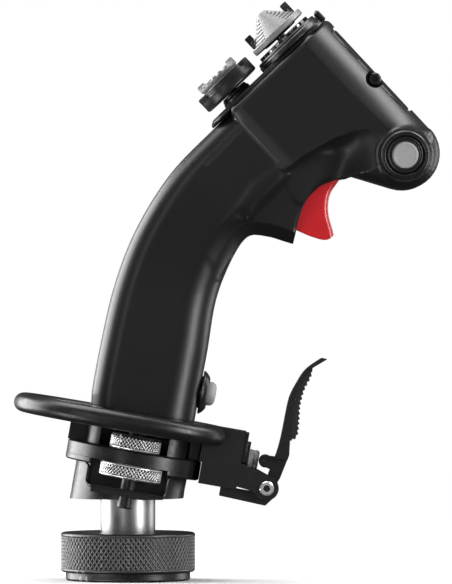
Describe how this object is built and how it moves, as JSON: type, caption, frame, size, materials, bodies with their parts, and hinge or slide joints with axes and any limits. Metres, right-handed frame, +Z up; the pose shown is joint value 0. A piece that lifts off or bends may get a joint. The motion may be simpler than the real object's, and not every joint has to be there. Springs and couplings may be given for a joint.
{
  "type": "flight joystick grip",
  "caption": "Flight joystick grip with trigger, hat switches, side buttons, finger paddle and height-adjustable palm rest, held by a threaded coupling collar.",
  "frame": {"origin": "centre of the coupling collar's lower face, where the base's threaded socket enters", "axes": "+X forward, the way the trigger faces; +Y to the pilot's left; +Z up the collar's axis"},
  "size_m": [0.1698, 0.0816, 0.2322],
  "materials": {
    "knurled_black": "black anodised, diamond knurled",
    "black_metal": "satin black anodised",
    "bright_steel": "turned, bright",
    "spring_steel": "drawn wire",
    "grip_black": "fine satin paint",
    "face_black": "satin",
    "hidden_nylon": "moulded nylon",
    "light_grey": "moulded, satin",
    "trigger_red": "smooth, gloss",
    "black_rubber": "moulded ribs",
    "contact_brass": "plated",
    "switch_body": "moulded",
    "board_green": "solder mask",
    "cable_jacket": "braid"
  },
  "bodies": {
    "grip": {"connector_flange": "black_metal", "thrust_washer": "hidden_nylon", "plug_insert": "hidden_nylon", "plug_pins": "contact_brass", "extension_shaft": "bright_steel", "tilt_housing": "black_metal", "set_screws": "black_metal", "base_flange": "black_metal", "flange_screws": "black_metal", "grip_neck": "black_metal", "rear_guide_post": "black_metal", "front_spacer": "black_metal", "grip_shell_right": "grip_black", "grip_shell_left": "grip_black", "shell_screws": "black_metal", "face_plate": "face_black", "trim_detent_ring": "face_black", "trim_hat_base": "face_black", "crown_hat_base": "face_black", "castle_hat_base": "face_black", "grey_hat_base": "face_black", "trigger_pin": "bright_steel", "trigger_spring": "spring_steel", "trigger_switch": "switch_body", "pinky_bezel": "face_black", "pinky_switch": "switch_body", "nose_bezel": "face_black", "nose_collar": "face_black", "nose_switch": "switch_body", "paddle_housing": "black_metal", "plunger_bezel": "black_metal", "paddle_bracket": "black_metal", "paddle_pivot": "bright_steel", "paddle_switch": "switch_body", "main_board": "board_green", "hat_board": "board_green", "wiring_harness": "cable_jacket"},
    "collar": {"coupling_nut": "knurled_black"},
    "height_wheel": {"height_wheel": "bright_steel"},
    "lock_wheel": {"lock_wheel": "bright_steel"},
    "palm_rest": {"palm_rest": "black_metal", "height_stud": "black_metal"},
    "trigger": {"trigger": "trigger_red"},
    "pinky_button": {"pinky_button": "light_grey"},
    "nose_button": {"nose_button": "light_grey"},
    "paddle": {"paddle_lever": "black_metal", "paddle_pad": "black_rubber", "paddle_roller": "black_rubber"},
    "plunger": {"paddle_plunger": "light_grey"},
    "trim_hat_gimbal": {"trim_hat_gimbal": "hidden_nylon"},
    "trim_hat_cap": {"trim_hat_cap": "bright_steel"},
    "crown_hat_gimbal": {"crown_hat_gimbal": "hidden_nylon"},
    "crown_hat_cap": {"crown_hat_cap": "face_black"},
    "castle_hat_gimbal": {"castle_hat_gimbal": "hidden_nylon"},
    "castle_hat_cap": {"castle_hat_cap": "face_black"},
    "grey_hat_gimbal": {"grey_hat_gimbal": "hidden_nylon"},
    "grey_hat_cap": {"grey_hat_cap": "light_grey"}
  },
  "joints": [
    {"name": "collar_spin", "type": "hinge", "parent": "grip", "child": "collar", "pos_m": [0, 0, 0.0096], "axis": [0, 0, 1], "continuous": true},
    {"name": "height_wheel_spin", "type": "hinge", "parent": "grip", "child": "height_wheel", "pos_m": [0.00337, -0.021, 0.05511], "axis": [0.1736, 0, 0.9848], "range_deg": [0, 1440]},
    {"name": "lock_wheel_spin", "type": "hinge", "parent": "grip", "child": "lock_wheel", "pos_m": [0.00137, -0.021, 0.04378], "axis": [0.1736, 0, 0.9848], "range_deg": [0, 1440]},
    {"name": "palm_rest_slide", "type": "slide", "parent": "grip", "child": "palm_rest", "axis": [0.1736, 0, 0.9848], "range_m": [0, 0.004]},
    {"name": "trigger_pull", "type": "hinge", "parent": "grip", "child": "trigger", "pos_m": [0.0808, 0, 0.166], "axis": [0, 1, 0], "range_deg": [0, 9], "stiffness_Nm_per_rad": 0.6, "springref_deg": -5.73},
    {"name": "pinky_press", "type": "slide", "parent": "grip", "child": "pinky_button", "axis": [-0.9848, 0, 0.1736], "range_m": [0, 0.0015], "stiffness_N_per_m": 1500, "springref_m": -0.0005},
    {"name": "nose_press", "type": "slide", "parent": "grip", "child": "nose_button", "axis": [-0.1239, 0.9845, 0.1239], "range_m": [0, 0.0015], "stiffness_N_per_m": 1500, "springref_m": -0.0005},
    {"name": "paddle_squeeze", "type": "hinge", "parent": "grip", "child": "paddle", "pos_m": [0.05541, 0, 0.03699], "axis": [0, -1, 0], "range_deg": [0, 11.5], "stiffness_Nm_per_rad": 0.8, "springref_deg": -4.58},
    {"name": "plunger_slide", "type": "slide", "parent": "grip", "child": "plunger", "axis": [-0.9848, 0, 0.1736], "range_m": [0, 0.0022]},
    {"name": "trim_hat_sideways", "type": "hinge", "parent": "grip", "child": "trim_hat_gimbal", "pos_m": [0.06423, -0.008, 0.21394], "axis": [0.7254, 0, 0.6884], "range_deg": [-5, 5], "stiffness_Nm_per_rad": 0.3},
    {"name": "trim_hat_fore_aft", "type": "hinge", "parent": "trim_hat_gimbal", "child": "trim_hat_cap", "pos_m": [0.06423, -0.008, 0.21394], "axis": [0, 1, 0], "range_deg": [-5, 5], "stiffness_Nm_per_rad": 0.3},
    {"name": "crown_hat_sideways", "type": "hinge", "parent": "grip", "child": "crown_hat_gimbal", "pos_m": [0.06452, 0.0175, 0.21421], "axis": [0.7254, 0, 0.6884], "range_deg": [-5, 5], "stiffness_Nm_per_rad": 0.3},
    {"name": "crown_hat_fore_aft", "type": "hinge", "parent": "crown_hat_gimbal", "child": "crown_hat_cap", "pos_m": [0.06452, 0.0175, 0.21421], "axis": [0, 1, 0], "range_deg": [-5, 5], "stiffness_Nm_per_rad": 0.3},
    {"name": "castle_hat_sideways", "type": "hinge", "parent": "grip", "child": "castle_hat_gimbal", "pos_m": [0.04327, -0.0095, 0.19404], "axis": [0.7254, 0, 0.6884], "range_deg": [-5, 5], "stiffness_Nm_per_rad": 0.3},
    {"name": "castle_hat_fore_aft", "type": "hinge", "parent": "castle_hat_gimbal", "child": "castle_hat_cap", "pos_m": [0.04327, -0.0095, 0.19404], "axis": [0, 1, 0], "range_deg": [-5, 5], "stiffness_Nm_per_rad": 0.3},
    {"name": "grey_hat_sideways", "type": "hinge", "parent": "grip", "child": "grey_hat_gimbal", "pos_m": [0.04327, 0.014, 0.19404], "axis": [0.7254, 0, 0.6884], "range_deg": [-5, 5], "stiffness_Nm_per_rad": 0.3},
    {"name": "grey_hat_fore_aft", "type": "hinge", "parent": "grey_hat_gimbal", "child": "grey_hat_cap", "pos_m": [0.04327, 0.014, 0.19404], "axis": [0, 1, 0], "range_deg": [-5, 5], "stiffness_Nm_per_rad": 0.3}
  ],
  "couplings": [
    {"joint": "height_wheel_spin", "follows": "palm_rest_slide", "rad_per_m": 6283.2},
    {"joint": "lock_wheel_spin", "follows": "palm_rest_slide", "rad_per_m": 6283.2},
    {"joint": "plunger_slide", "follows": "paddle_squeeze", "m_per_rad": 0.0104}
  ]
}
